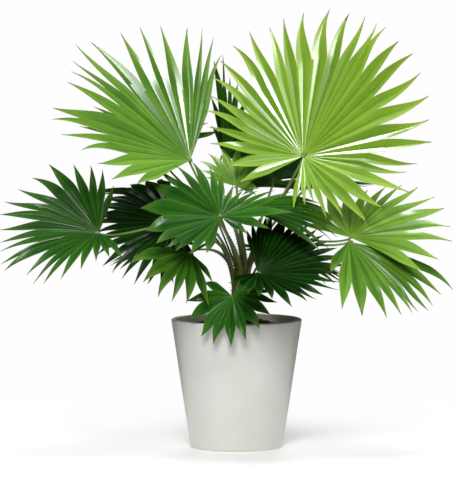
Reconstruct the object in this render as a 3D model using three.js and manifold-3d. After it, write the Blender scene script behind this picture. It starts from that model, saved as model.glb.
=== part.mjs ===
// Chinese fan palm in a tapered glazed pot.
// Millimetres, +Z up. The origin is the middle of the pot's flat underside.
import * as THREE from 'three';
import { mergeVertices } from 'three/addons/utils/BufferGeometryUtils.js';
import Module from 'manifold-3d';

const wasm = await Module();
wasm.setup();

// ---- driving dimensions ----

const gap = 0.3;                // clear space between neighbouring pieces

const potHeight = 286;
const potRim = 145;             // outer radius at the top
const potFoot = 104;            // outer radius where the wall meets the foot
const potFootRound = 9;
const potWall = 10;
const potFloor = 14;
const potLip = 4;               // rounding of the rim
const lipCorner = 0.3;          // of the rounding, where its middle lies
const potSides = 56;

const soilCrown = 281;          // height of the flat top of the soil
const soilCrownRadius = 44;
const soilEdge = 259;           // height where the soil meets the wall

const stemFoot = new THREE.Vector3(4, 2, soilCrown + gap);
const stemTop = new THREE.Vector3(14, 0, 399);
const stemFlare = 29;           // radius on the soil
const stemRadius = 21;          // above the flare
const stemTip = 17;
const stemFlareHeight = 26;
const stemScars = 7;            // rings left by old leaf bases
const stemScarDepth = 1.2;
const stemSides = 14;

const stalkSides = 6;
const stalkSteps = 8;
const stalkSheath = 5.8;        // half width where a stalk leaves the stem
const stalkNeck = 2.7;          // half width where it enters the blade
const stalkTaper = 0.55;        // below 1 the stalk narrows early
const stalkFlat = 0.72;         // depth of a stalk over its width
const stalkFollow = 0.45;       // how far a stalk's end turns towards its blade's axis
const stalkTilt = 0.3;          // least rise of a stalk's end towards the blade's underside
const stalkArch = 0.36;         // of its length, how long it keeps its first direction
const stalkApproach = 0.3;      // the same at its end
const stalkTrim = 40;
const stalkSeatDepth = 0.62;    // of the stem's radius, where a stalk's middle line starts

const halfFan = 148;            // degrees from the middle leaflet to the last one
const bladeThick = 0.0112;      // of the reach
const pleatRise = 0.42;         // height of a fold over half a leaflet's width
const splitAt = 0.62;           // of a leaflet's length, where it comes free
const shoulderAt = 0.47;        // of a leaflet's free part
const shoulderWidth = 0.66;     // of the width at the split
const lengthWaver = 0.045;
const angleWaver = 0.012;       // radians, in the free part
const shortPower = 2.2;         // how late the leaflets shorten towards the fan's ends
const bendPower = 1.6;          // how late along its length a leaflet bends
const bendSteps = 8;

// Each frond is a fan on a stalk. hub is the middle of the fan; heading and rise
// (degrees) aim its axis, the middle leaflet, and roll turns it about that axis.
// Its leaflets are spread evenly from one angle to another and the last ones are
// short of the reach, or each has an angle of its own and a length as a share of the
// reach. split says where they come free, evenly along the fan. dish and fold lift
// them out of the fan's plane and droop bends them down. seat is the height where the
// stalk leaves the stem, side the heading it leaves on, climb its first rise and arch
// how long it keeps that.
const fronds = [
  { name: 'upper_right', hub: [148, 20, 646], heading: 17, rise: 48, roll: -45, reach: 338,
    angles: [-142.9, -133.8, -124.7, -119.1, -109.3, -100.6, -89.4, -77.8, -69.6, -63.8, -55.9,
      -46.2, -34.9, -25.6, -18, -10, -2.5, 2.4, 8.1, 16.1, 25.2, 36.5, 45.6, 52.5, 60.9, 69, 77.3,
      85, 92.8, 101.4, 109.2, 119.4, 137.4, 157.8],
    lengths: [0.45, 0.43, 0.42, 0.6, 0.65, 0.82, 0.8, 0.89, 0.81, 0.87, 0.96, 0.94, 0.98, 0.99,
      1.02, 1.01, 1.02, 1.01, 1.01, 1, 1, 0.99, 0.97, 0.94, 0.97, 0.95, 0.91, 0.87, 0.78, 0.77,
      0.68, 0.63, 0.51, 0.47],
    dish: 21, fold: -11, droop: 0.02,
    split: [0.55, 0.5, 0.5, 0.6, 0.64, 0.7, 0.68, 0.6, 0.6, 0.6, 0.6],
    seat: 394, side: -4, centre: 0.75, climb: 72, colour: '#86b43a' },
  { name: 'upper_left', hub: [-103, 40, 636], heading: 160, rise: 46, roll: 29, reach: 358,
    angles: [-55, -49, -45, -39, -29, -21, -12, 0, 7, 16, 22, 29, 45, 52, 58, 65, 72, 82, 90],
    lengths: [0.83, 0.93, 0.96, 0.96, 0.96, 0.97, 0.96, 0.99, 1.02,
      0.96, 0.94, 0.94, 1.04, 1.07, 1.03, 0.92, 0.85, 0.83, 0.66],
    dish: 5, fold: 11, droop: 0.14, split: [0.44, 0.7],
    seat: 394, side: 186, centre: 0.75, climb: 72, colour: '#5d8f33' },
  { name: 'upper_back', hub: [-30, 255, 636], heading: 103, rise: 72, roll: -57, reach: 262,
    angles: [-86, -78, -69, -59, -46, -32, -16, -3, 13, 33, 54, 75],
    lengths: [0.93, 0.94, 0.93, 0.9, 0.85, 0.78, 0.73, 0.73, 0.88, 0.89, 0.7, 0.56],
    dish: 8, fold: 3, droop: 0.09, split: [0.6, 0.5],
    seat: 394, side: 92, centre: 0.75, climb: 76, colour: '#2f5a24' },
  { name: 'far_left', hub: [-303, -80, 482], heading: 185, rise: -17, roll: 38, reach: 233,
    angles: [-127, -112, -102, -90, -77, -62, -51, -41, -31, -20, -11,
      -5, 3, 13, 29, 40, 47, 57, 69, 81, 92, 101],
    lengths: [0.5, 0.65, 0.71, 0.76, 0.89, 0.88, 0.91, 0.97, 0.97, 0.95, 0.95,
      0.97, 1, 1.03, 0.95, 1.05, 1.04, 0.95, 0.82, 0.72, 0.73, 0.84],
    dish: 15, fold: 13, droop: 0.44, split: [0.6, 0.6],
    seat: 334, side: 200, climb: 84, arch: 0.8, colour: '#24542a' },
  { name: 'front_middle', hub: [-35, -143, 522], heading: 118, rise: 32, roll: 21, reach: 183,
    angles: [-165, -141.5, -113.6, -90.2, -79.9, -70.2, -54.8, -39.9, -26.3, -14.5, -2.6, 8.7, 16.6,
      29.1, 52.3, 76.6, 94.5, 104, 114.4, 127.6, 142.6],
    lengths: [0.52, 0.67, 0.89, 0.93, 0.79, 0.62, 0.53, 0.56, 0.75, 0.86, 1.01, 1.06, 1.12, 1.06, 1,
      0.91, 0.88, 0.83, 0.8, 0.76, 0.71],
    dish: 8, fold: -7, droop: 0.04, split: [0.6, 0.42, 0.5, 0.76, 0.7],
    seat: 352, side: 276, climb: 66, colour: '#3f7a2c' },
  { name: 'low_left', hub: [-102, -110, 442], heading: -128, rise: -26, roll: 52, reach: 148,
    angles: [-34, -15, 4, 17, 33, 59, 80],
    lengths: [1.08, 1.06, 1.07, 1, 0.92, 0.93, 0.59],
    dish: 3, fold: 0, droop: 0.44, split: [0.6, 0.5],
    seat: 322, side: 230, climb: 84, arch: 1.1, follow: 2.5, colour: '#3c7430' },
  { name: 'mid_left', hub: [-136, 6, 494], heading: 180, rise: -4, roll: 40, reach: 200,
    leaflets: 20, from: -88, to: 112, dish: 5, fold: -4, droop: 0.4, short: 0.35,
    split: [0.85, 0.75, 0.64, 0.62, 0.62],
    seat: 358, side: 170, climb: 82, arch: 0.7, colour: '#1f4a26' },
  { name: 'low_right', hub: [46, -125, 398], heading: -12, rise: -24, roll: -30, reach: 200,
    angles: [-98, -90, -82, -73, -63, -52.3, -37.8, -29.2, -19.1, -5.5, 4.2, 12.8, 23, 32.1, 40.5,
      48.7, 56.9, 65.8, 74.6, 82.2, 89.7, 97.4, 104.3, 110.7, 117.4, 125.7, 135.2],
    lengths: [0.92, 0.98, 0.98, 0.95, 0.92, 1.11, 0.98, 0.97, 0.93, 1, 0.98, 0.98, 0.98, 0.96, 0.93,
      0.9, 0.88, 0.87, 0.85, 0.82, 0.79, 0.76, 0.75, 0.73, 0.69, 0.62, 0.53],
    dish: 21, fold: 4, droop: 0.05, split: [0.74, 0.7, 0.66, 0.74, 0.74, 0.74],
    seat: 326, climb: 40, colour: '#27552a' },
  { name: 'far_right', hub: [246, -100, 464], heading: 17, rise: -6, roll: -49, reach: 242,
    angles: [-124, -105, -92, -75, -64, -55, -51, -45, -39, -29, -20],
    lengths: [0.49, 0.84, 0.87, 0.89, 0.9, 0.92, 0.95, 0.99, 0.97, 0.97, 1.05],
    dish: 9, fold: -1, droop: 0.46, split: [0.62, 0.7],
    seat: 340, side: 12, climb: 76, arch: 0.6, colour: '#4c8a34' },
  { name: 'mid_right', hub: [250, -66, 471], heading: -8, rise: 7, roll: -35, reach: 186,
    angles: [-36.2, -22.4, -2.8, 9.4, 25.1, 37.5, 50.4, 58.5, 67.2, 78.2, 92.1, 109.3, 128.1, 136.9,
      145.9],
    lengths: [1.12, 1.16, 1.22, 1.2, 1.22, 1.23, 1.22, 1.16, 1.05, 0.93, 0.86, 0.9, 1.22, 1.3, 0.88],
    dish: -2, fold: 4, droop: 0.16, split: [0.6, 0.6, 0.55, 0.55, 0.6, 0.45],
    seat: 364, side: -42, climb: 78, arch: 0.62, colour: '#4f8a35' },
  { name: 'centre_right', hub: [12, -77, 536], heading: -33, rise: -16, roll: -17, reach: 219,
    leaflets: 9, from: 0.4, to: 76, dish: 1, fold: 2, droop: 0.58, short: 0.35,
    seat: 382, side: -60, climb: 72, arch: 0.36, colour: '#27552a' },
  { name: 'front_low', hub: [-10, -138, 348], heading: -99, rise: -66, roll: -9, reach: 112,
    angles: [-121.2, -96, -70, -41.9, -20.9, 2, 23.9, 47, 72.1, 91, 102.2, 113.9, 130.5, 148.2],
    lengths: [0.68, 0.95, 0.98, 1.01, 1.04, 1.04, 0.98, 0.93, 0.92, 0.97, 0.86, 0.72, 0.54, 0.38],
    dish: 1, fold: 4, droop: 0.58, split: [0.6, 0.6, 0.62, 0.7, 0.8],
    seat: 302, climb: 40, colour: '#2c5f2b' },
  { name: 'inner_small', hub: [0, 60, 577], heading: 78, rise: 59, roll: 7, reach: 100,
    angles: [-121, -107, -84, -56, -28, -1, 21, 39, 53, 67, 79],
    lengths: [0.81, 0.79, 0.83, 0.87, 0.9, 0.93, 0.97, 1, 1, 0.9, 0.76],
    dish: 16, fold: 13, droop: 0.3,
    seat: 394, centre: 0.05, climb: 88, colour: '#3f7a2f' },
  { name: 'inner_right', hub: [84, 96, 588], heading: 60, rise: 34, roll: 0, reach: 124,
    leaflets: 20, from: -92, dish: 6, fold: 4, droop: 0.3, short: 0.35,
    seat: 394, side: 38, centre: 0.75, climb: 72, colour: '#23502a' },
  { name: 'back_right', hub: [150, 205, 560], heading: 62, rise: 4, roll: 0, reach: 170,
    leaflets: 18, from: -84, to: 124, dish: 6, fold: 4, droop: 0.35, short: 0.36,
    seat: 346, side: 72, climb: 70, colour: '#2f6230' },
  { name: 'back_left', hub: [-140, 184, 530], heading: 135, rise: 10, roll: 0, reach: 204,
    leaflets: 16, from: -108, to: 62, dish: 6, fold: 4, droop: 0.4, short: 0.36,
    seat: 350, side: 146, climb: 80, arch: 0.6, colour: '#2c5c2c' },
  { name: 'back_low_left', hub: [-150, 140, 432], heading: 122, rise: -16, roll: 8, reach: 150,
    leaflets: 18, from: -124, to: 124, dish: 6, fold: 4, droop: 0.45, short: 0.34,
    seat: 322, side: 104, climb: 72, arch: 0.8, colour: '#24502a' },
  { name: 'back_low_right', hub: [108, 124, 406], heading: 52, rise: -22, roll: -6, reach: 152,
    leaflets: 18, from: -130, to: 130, dish: 6, fold: 4, droop: 0.45, short: 0.34,
    seat: 316, climb: 46, colour: '#24502a' },
  { name: 'rear_right', hub: [150, 190, 632], heading: 62, rise: 45, roll: -10, reach: 175,
    leaflets: 18, from: -108, to: 108, dish: 8, fold: 2, droop: 0.3, short: 0.35,
    seat: 366, side: 60, climb: 74, colour: '#3f7431' },
  { name: 'rear_left', hub: [-170, 160, 640], heading: 140, rise: 38, roll: 10, reach: 205,
    leaflets: 16, from: -84, to: 60, dish: 8, fold: 2, droop: 0.3, short: 0.35,
    seat: 370, side: 122, climb: 80, arch: 0.5, colour: '#3a6e30' },
];

// ---- solids from triangles ----

function solidFrom(points, faces) {
  const geometry = new THREE.BufferGeometry();
  const places = points.flatMap(p => [p.x, p.y, p.z]);
  geometry.setAttribute('position', new THREE.Float32BufferAttribute(places, 3));
  geometry.setIndex(faces.flat());
  return geometry;
}

function toManifold(geometry) {
  const bare = geometry.clone();
  bare.deleteAttribute('normal');
  bare.deleteAttribute('uv');
  const merged = mergeVertices(bare, 1e-3);
  const source = merged.index.array;
  const triangles = [];
  for (let i = 0; i < source.length; i += 3) {
    const [a, b, c] = [source[i], source[i + 1], source[i + 2]];
    if (a !== b && b !== c && c !== a) triangles.push(a, b, c);
  }
  return new wasm.Manifold(new wasm.Mesh({
    numProp: 3,
    vertProperties: new Float32Array(merged.attributes.position.array),
    triVerts: new Uint32Array(triangles),
  }));
}

function fromManifold(solid) {
  const mesh = solid.getMesh();
  const geometry = new THREE.BufferGeometry();
  geometry.setAttribute('position', new THREE.BufferAttribute(mesh.vertProperties, 3));
  geometry.setIndex(new THREE.BufferAttribute(mesh.triVerts, 1));
  return geometry;
}

function largest(solid) {
  return solid.decompose().reduce((best, piece) => (piece.volume() > best.volume() ? piece : best));
}

// A closed skin over rings of points, capped at both ends.
function skin(rings) {
  const points = rings.flat();
  const sides = rings[0].length;
  const faces = [];
  for (let r = 0; r + 1 < rings.length; r++) {
    for (let s = 0; s < sides; s++) {
      const a = r * sides + s;
      const b = r * sides + (s + 1) % sides;
      faces.push([a, b, b + sides], [a, b + sides, a + sides]);
    }
  }
  const last = (rings.length - 1) * sides;
  for (let s = 1; s + 1 < sides; s++) {
    faces.push([0, s + 1, s], [last, last + s, last + s + 1]);
  }
  return solidFrom(points, faces);
}

function turned(profile, sides) {
  const geometry = new THREE.LatheGeometry(profile.map(([r, z]) => new THREE.Vector2(r, z)), sides);
  geometry.rotateX(Math.PI / 2);
  return fromManifold(toManifold(geometry));
}

function blend(a, b, t) {
  return a + (b - a) * t;
}

// Even but irregular: the same number for the same leaflet every time, -1 to 1.
function waver(index, seed) {
  const x = Math.sin(index * 12.9898 + seed * 78.233) * 43758.5453;
  return 2 * (x - Math.floor(x)) - 1;
}

// ---- pot and soil ----

function potGeometry() {
  const slope = (potRim - potFoot) / (potHeight - potFootRound);
  const wallRadius = z => potRim - slope * (potHeight - z) - potWall;
  const profile = [[0, 0], [potFoot - potFootRound, 0]];
  for (const turn of [45, 90]) {
    const angle = THREE.MathUtils.degToRad(turn);
    const inward = potFootRound * (1 - Math.sin(angle));
    profile.push([potFoot - inward, potFootRound * (1 - Math.cos(angle))]);
  }
  profile.push([potRim - slope * potLip, potHeight - potLip]);
  profile.push([potRim - potLip * lipCorner, potHeight - potLip * lipCorner]);
  profile.push([potRim - potLip, potHeight]);
  profile.push([potRim - potWall + potLip * 0.6, potHeight]);
  profile.push([wallRadius(potHeight - potLip), potHeight - potLip]);
  profile.push([wallRadius(potFloor), potFloor]);
  profile.push([0, potFloor]);
  return turned(profile, potSides);
}

function soilGeometry() {
  const slope = (potRim - potFoot) / (potHeight - potFootRound);
  const wallRadius = z => potRim - slope * (potHeight - z) - potWall - 2 * gap;
  const profile = [[0, potFloor + gap], [wallRadius(potFloor), potFloor + gap]];
  profile.push([wallRadius(soilEdge), soilEdge]);
  for (const t of [0.33, 0.66, 1]) {
    const radius = blend(wallRadius(soilEdge), soilCrownRadius, t);
    profile.push([radius, blend(soilEdge, soilCrown, Math.sin(t * Math.PI / 2))]);
  }
  profile.push([0, soilCrown]);
  return turned(profile, potSides);
}

// ---- stem ----

function stemRadiusAt(t) {
  const flare = Math.max(0, 1 - t * stemTop.distanceTo(stemFoot) / stemFlareHeight);
  const taper = blend(stemRadius, stemTip, t * t);
  return taper + (stemFlare - stemRadius) * flare * flare;
}

// grow fattens the stem, so that what meets it can be cut clear of it.
function stemGeometry(grow) {
  const rings = [];
  const steps = stemScars * 2 + 1;
  for (let i = 0; i <= steps; i++) {
    const t = i / steps;
    const scar = i % 2 === 1 ? stemScarDepth : 0;
    const radius = stemRadiusAt(t) - (grow > 0 ? 0 : scar) + grow;
    const middle = stemFoot.clone().lerp(stemTop, t);
    if (i === 0) middle.z -= grow;
    if (i === steps) middle.z += grow;
    const ring = [];
    for (let s = 0; s < stemSides; s++) {
      const angle = 2 * Math.PI * s / stemSides;
      const out = new THREE.Vector3(Math.cos(angle), Math.sin(angle), 0);
      ring.push(out.multiplyScalar(radius).add(middle));
    }
    rings.push(ring);
  }
  return skin(rings);
}

const stemRoom = toManifold(stemGeometry(gap));

// ---- the rule of a fan ----

function direction(heading, rise) {
  const flat = THREE.MathUtils.degToRad(heading);
  const steep = THREE.MathUtils.degToRad(rise);
  const level = Math.cos(steep);
  return new THREE.Vector3(level * Math.cos(flat), level * Math.sin(flat), Math.sin(steep));
}

// axis runs out along the middle leaflet, face is the upper side, side completes them.
function fanFrame(frond) {
  const axis = direction(frond.heading, frond.rise);
  const upright = direction(frond.heading, frond.rise + 90);
  const level = new THREE.Vector3().crossVectors(upright, axis);
  const roll = THREE.MathUtils.degToRad(frond.roll);
  const face = upright.multiplyScalar(Math.cos(roll)).addScaledVector(level, Math.sin(roll));
  const side = new THREE.Vector3().crossVectors(face, axis);
  return { axis, face, side, hub: new THREE.Vector3(...frond.hub) };
}

function leafletCount(frond) {
  return frond.angles?.length ?? frond.leaflets;
}

// The angle of a place along the fan: 0 is its first edge, 1 its last.
function fanAngle(frond, place) {
  if (frond.angles) {
    const along = place * frond.angles.length - 0.5;
    const before = THREE.MathUtils.clamp(Math.floor(along), 0, frond.angles.length - 2);
    const angle = blend(frond.angles[before], frond.angles[before + 1], along - before);
    return THREE.MathUtils.degToRad(angle);
  }
  return THREE.MathUtils.degToRad(blend(frond.from ?? -halfFan, frond.to ?? halfFan, place));
}

function leafletLength(frond, place, index) {
  if (frond.lengths) return frond.reach * frond.lengths[index];
  const even = Math.abs(blend(frond.from ?? -halfFan, frond.to ?? halfFan, place)) / halfFan;
  const uneven = 1 + lengthWaver * waver(index, frond.reach);
  return frond.reach * (1 - frond.short * Math.pow(even, shortPower)) * uneven;
}

function splitShare(frond, place) {
  const shares = frond.split ?? [splitAt, splitAt];
  const along = place * (shares.length - 1);
  const before = Math.min(Math.floor(along), shares.length - 2);
  return blend(shares[before], shares[before + 1], along - before);
}

// The point at a distance out along the fan's surface, and the surface's own up there.
function fanPoint(frond, frame, angle, distance) {
  const lift = THREE.MathUtils.degToRad(frond.dish + frond.fold * Math.abs(Math.sin(angle)));
  const flat = frame.axis.clone().multiplyScalar(Math.cos(angle));
  flat.addScaledVector(frame.side, Math.sin(angle));
  const start = flat.clone().multiplyScalar(Math.cos(lift)).addScaledVector(frame.face, Math.sin(lift));
  const up = flat.clone().multiplyScalar(-Math.sin(lift)).addScaledVector(frame.face, Math.cos(lift));
  const point = frame.hub.clone();
  for (let i = 0; i < bendSteps; i++) {
    const share = (i + 0.5) / bendSteps * distance / frond.reach;
    const step = start.clone();
    step.z -= frond.droop * Math.pow(share, bendPower);
    point.addScaledVector(step.normalize(), distance / bendSteps);
  }
  return { point, up };
}

// A folded sheet: low along each leaflet's middle, high where two leaflets meet,
// in one piece as far as the splits and in free points beyond them.
function bladeGeometry(frond, frame) {
  const thick = bladeThick * frond.reach;
  const count = leafletCount(frond);
  // every place on the blade is a pair of points: 2k above and 2k + 1 below
  const points = [frame.hub.clone(), frame.hub.clone().addScaledVector(frame.face, -thick)];
  const faces = [];
  function add(angle, distance, raise, sideways = 0) {
    const { point, up } = fanPoint(frond, frame, angle, distance);
    const out = point.clone().sub(frame.hub);
    const across = new THREE.Vector3().crossVectors(up, out).normalize();
    const top = point.addScaledVector(up, raise).addScaledVector(across, sideways);
    points.push(top, top.clone().addScaledVector(up, -thick));
    return points.length / 2 - 1;
  }
  function sheet(a, b, c) {
    faces.push([2 * a, 2 * c, 2 * b], [2 * a + 1, 2 * b + 1, 2 * c + 1]);
  }
  function wall(a, b) {
    faces.push([2 * a, 2 * b + 1, 2 * a + 1], [2 * a, 2 * b, 2 * b + 1]);
  }
  const middlePlace = i => (i + 0.5) / count;
  const halfSpan = i => Math.abs(fanAngle(frond, (i + 1) / count) - fanAngle(frond, i / count)) / 2;
  const free = [];
  for (let i = 0; i < count; i++) {
    const length = leafletLength(frond, middlePlace(i), i);
    const angle = fanAngle(frond, middlePlace(i));
    const loose = angle + angleWaver * waver(i, frond.reach + 7);
    const split = splitShare(frond, middlePlace(i)) * length;
    const wide = blend(split, length, shoulderAt);
    const half = splitAt * length * Math.sin(halfSpan(i)) * shoulderWidth;
    free.push({
      split,
      middle: add(angle, split, 0),
      shoulder: add(loose, wide, 0),
      left: add(loose, wide, pleatRise * half, -half),
      right: add(loose, wide, pleatRise * half, half),
      tip: add(loose, length, 0),
    });
  }
  const splits = [];
  for (let i = 0; i <= count; i++) {
    const before = Math.max(i - 1, 0);
    const after = Math.min(i, count - 1);
    const distance = Math.min(free[before].split, free[after].split);
    splits.push(add(fanAngle(frond, i / count), distance, pleatRise * distance * Math.sin(halfSpan(after))));
  }
  const hub = 0;
  free.forEach(({ middle, shoulder, left, right, tip }, i) => {
    const low = splits[i];
    const high = splits[i + 1];
    sheet(hub, middle, low);
    sheet(hub, high, middle);
    sheet(low, middle, shoulder);
    sheet(low, shoulder, left);
    sheet(middle, high, right);
    sheet(middle, right, shoulder);
    sheet(left, shoulder, tip);
    sheet(shoulder, right, tip);
    wall(left, low);
    wall(tip, left);
    wall(right, tip);
    wall(high, right);
  });
  wall(splits[0], hub);
  wall(hub, splits[count]);
  return solidFrom(points, faces);
}

// ---- stalks ----

// A tube along a line of points: wide across, flatter through, with a keel below.
function limb(line, halfWidth) {
  const rings = line.map((middle, i) => {
    const ahead = line[Math.min(i + 1, line.length - 1)];
    const behind = line[Math.max(i - 1, 0)];
    const along = ahead.clone().sub(behind).normalize();
    const across = new THREE.Vector3().crossVectors(along, limbUp(along)).normalize();
    const under = new THREE.Vector3().crossVectors(along, across);
    const ring = [];
    for (let s = 0; s < stalkSides; s++) {
      const angle = 2 * Math.PI * s / stalkSides;
      const half = halfWidth(i / (line.length - 1));
      ring.push(middle.clone()
        .addScaledVector(across, half * Math.cos(angle))
        .addScaledVector(under, half * stalkFlat * Math.sin(angle)));
    }
    return ring;
  });
  return skin(rings);
}

function limbUp(along) {
  return Math.abs(along.z) > 0.97 ? new THREE.Vector3(0, 1, 0) : new THREE.Vector3(0, 0, 1);
}

// Where the stalk's middle line ends: just under the middle of the fan.
function stalkEnd(frond, frame) {
  return frame.hub.clone().addScaledVector(frame.face, -bladeThick * frond.reach - gap);
}

function stalkCurve(frond, frame) {
  const share = (frond.seat - stemFoot.z) / (stemTop.z - stemFoot.z);
  const core = stemFoot.clone().lerp(stemTop, share);
  const outward = frame.hub.clone().sub(core);
  const heading = frond.side ?? THREE.MathUtils.radToDeg(Math.atan2(outward.y, outward.x));
  const depth = (frond.centre ?? stalkSeatDepth) * stemRadiusAt(share);
  const seat = core.addScaledVector(direction(heading, 0), depth);
  const reach = frame.hub.distanceTo(seat);
  const straight = frame.hub.clone().sub(seat).normalize();
  const arrival = frame.axis.clone().multiplyScalar(frond.follow ?? stalkFollow).add(straight).normalize();
  // it comes in from the underside
  const short = stalkTilt - arrival.dot(frame.face);
  if (short > 0) arrival.addScaledVector(frame.face, short).normalize();
  const end = stalkEnd(frond, frame);
  const leave = seat.clone();
  leave.addScaledVector(direction(heading, frond.climb), reach * (frond.arch ?? stalkArch));
  const approach = end.clone().addScaledVector(arrival, -reach * stalkApproach);
  return new THREE.CubicBezierCurve3(seat, leave, approach, end);
}

// The room over the stalk's end, which the blade takes.
function bladeRoom(frond, frame) {
  const room = new THREE.CylinderGeometry(stalkTrim, stalkTrim, stalkTrim, 12);
  room.translate(0, stalkTrim / 2, 0);
  room.applyQuaternion(new THREE.Quaternion().setFromUnitVectors(new THREE.Vector3(0, 1, 0), frame.face));
  return room.translate(...stalkEnd(frond, frame).toArray());
}

function stalkGeometry(frond, frame) {
  const line = stalkCurve(frond, frame).getSpacedPoints(stalkSteps);
  const tube = toManifold(limb(line, t => blend(stalkSheath, stalkNeck, Math.pow(t, stalkTaper))));
  return fromManifold(largest(tube.subtract(stemRoom).subtract(toManifold(bladeRoom(frond, frame)))));
}

// ---- the plant ----

const palette = {
  glaze: { color: '#e4e4df', roughness: 0.35 },
  soil: { color: '#2b2019', roughness: 0.95 },
  bark: { color: '#6d6230', roughness: 0.85 },
  stalk: { color: '#6f8a35', roughness: 0.6 },
};

const group = new THREE.Group();

function place(name, geometry, look) {
  const mesh = new THREE.Mesh(geometry, new THREE.MeshStandardMaterial({ metalness: 0, ...look }));
  mesh.name = name;
  group.add(mesh);
}

place('pot', potGeometry(), palette.glaze);
place('soil', soilGeometry(), palette.soil);
place('stem', stemGeometry(0), palette.bark);

for (const frond of fronds) {
  const frame = fanFrame(frond);
  place(`stalk_${frond.name}`, stalkGeometry(frond, frame), palette.stalk);
  place(`frond_${frond.name}`, bladeGeometry(frond, frame), { color: frond.colour, roughness: 0.5 });
}

export default group;
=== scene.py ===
# Potted fan palm: pot, soil, stem, stalks and fans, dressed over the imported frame.
# The table of fans is in millimetres, as in the part's source, and the rest in metres.
from math import atan2, cos, degrees, floor, hypot, pi, radians, sin, tan

import bpy
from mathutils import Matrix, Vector, noise


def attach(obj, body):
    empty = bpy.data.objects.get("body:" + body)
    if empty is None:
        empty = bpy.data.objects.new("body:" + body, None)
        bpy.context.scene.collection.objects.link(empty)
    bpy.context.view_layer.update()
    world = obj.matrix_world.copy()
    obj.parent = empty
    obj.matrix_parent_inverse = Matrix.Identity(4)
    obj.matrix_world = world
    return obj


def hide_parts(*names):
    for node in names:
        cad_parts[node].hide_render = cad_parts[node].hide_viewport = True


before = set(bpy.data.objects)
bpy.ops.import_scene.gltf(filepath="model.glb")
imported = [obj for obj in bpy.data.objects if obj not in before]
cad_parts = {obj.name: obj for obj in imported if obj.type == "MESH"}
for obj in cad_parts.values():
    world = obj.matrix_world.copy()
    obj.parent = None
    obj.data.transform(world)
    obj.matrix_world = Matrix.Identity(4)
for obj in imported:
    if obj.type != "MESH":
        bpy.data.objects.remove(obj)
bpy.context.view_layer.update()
mm = 0.001


def blend(a, b, t):  # of numbers, vectors or wires
    return a + (b - a) * t


def smooth(low, high, value):
    t = min(max((value - low) / (high - low), 0), 1)
    return t * t * (3 - 2 * t)


def fraction(value):
    return value - floor(value)


def waver(index, seed):  # the same number each time, -1 to 1
    return 2 * fraction(sin(index * 12.9898 + seed * 78.233) * 43758.5453) - 1


def linear(code):  # "#rrggbb" as the shader's own colour
    parts = [int(code[i:i + 2], 16) / 255 for i in (1, 3, 5)]
    parts = [p / 12.92 if p < 0.04045 else ((p + 0.055) / 1.055) ** 2.4 for p in parts]
    return (*parts, 1)


def direction(heading, rise):
    flat, steep = radians(heading), radians(rise)
    return Vector((cos(steep) * cos(flat), cos(steep) * sin(flat), sin(steep)))


def around(sides):  # cosine and sine of even steps round a circle
    return [(cos(2 * pi * s / sides), sin(2 * pi * s / sides)) for s in range(sides)]


def ringPairs(first, rings, sides):  # neighbours on each ring but the last
    for r in range(rings - 1):
        for s in range(sides):
            yield first + r * sides + s, first + r * sides + (s + 1) % sides


def addThing(name, data):
    thing = bpy.data.objects.new(name, data)
    bpy.context.scene.collection.objects.link(thing)
    return thing


def shadeSmooth(mesh, sharpAt):
    mesh.shade_smooth()
    if sharpAt:
        mesh.set_sharp_from_angle(angle=radians(sharpAt))


def makeMesh(name, points, faces, material=None, sharpAt=None, uvs=None, edges=()):
    mesh = bpy.data.meshes.new(name)
    mesh.from_pydata([tuple(p) for p in points], edges, faces)
    if uvs:
        layer = mesh.uv_layers.new(name="uvMap")
        for loop in mesh.loops:
            layer.data[loop.index].uv = uvs[loop.vertex_index]
    if material:
        mesh.materials.append(material)
        shadeSmooth(mesh, sharpAt)
    return addThing(name, mesh)


def bake(thing, sharpAt):  # the modifiers' result as a plain mesh
    graph = bpy.context.evaluated_depsgraph_get()
    mesh = bpy.data.meshes.new_from_object(thing.evaluated_get(graph))
    thing.modifiers.clear()
    thing.data = mesh
    mesh.name = thing.name
    shadeSmooth(mesh, sharpAt)


def fit(thing, slotName, *nodes):  # rides and stands for its nodes; its slot name is not used
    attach(thing, "root")
    if nodes:
        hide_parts(*nodes)


class Wire:  # a node's output, which sums can be made with
    def __init__(self, socket):
        self.socket = socket
        self.tree = socket.id_data
        self.isVector = socket.type in ("VECTOR", "RGBA")

    def __getitem__(self, name):  # another output of the same node
        return Wire(self.socket.node.outputs[name])

    def __add__(self, other):
        return reckon("ADD", self, other)

    def __sub__(self, other):
        return reckon("SUBTRACT", self, other)

    def __rsub__(self, other):
        return reckon("SUBTRACT", other, self)

    def __mul__(self, other):
        return reckon("MULTIPLY", self, other)

    def __truediv__(self, other):
        return reckon("DIVIDE", self, other)

    __radd__ = __add__
    __rmul__ = __mul__


def plug(value, socket):
    if isinstance(value, Wire):
        value.tree.links.new(value.socket, socket)
    else:
        socket.default_value = value


def shown(sockets):
    return [socket for socket in sockets if socket.enabled]


def node(tree, kind, settings=None, **values):  # a new node, by its first output
    made = tree.nodes.new(kind)
    for key, value in (settings or {}).items():
        setattr(made, key, value)
    sockets = {socket.name: socket for socket in shown(made.inputs)}
    for key, value in values.items():
        plug(value, sockets[key.replace("_", " ")])
    return Wire(shown(made.outputs)[0])


def reckon(operation, *values):  # one step of arithmetic
    tree = next(value.tree for value in values if isinstance(value, Wire))
    isVector = [value.isVector if isinstance(value, Wire) else isinstance(value, tuple) for value in values]
    made = tree.nodes.new("ShaderNodeVectorMath" if any(isVector) else "ShaderNodeMath")
    scales = operation == "MULTIPLY" and any(isVector) and not all(isVector)
    made.operation = "SCALE" if scales else operation
    for value, socket in zip(values, shown(made.inputs)):
        plug(value, socket)
    return Wire(shown(made.outputs)[0])


def absolute(value):
    return reckon("ABSOLUTE", value)


def most(a, b):
    return reckon("MAXIMUM", a, b)


def least(a, b):
    return reckon("MINIMUM", a, b)


def circle(angle):  # sine and cosine of a wire
    return reckon("SINE", angle), reckon("COSINE", angle)


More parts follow.
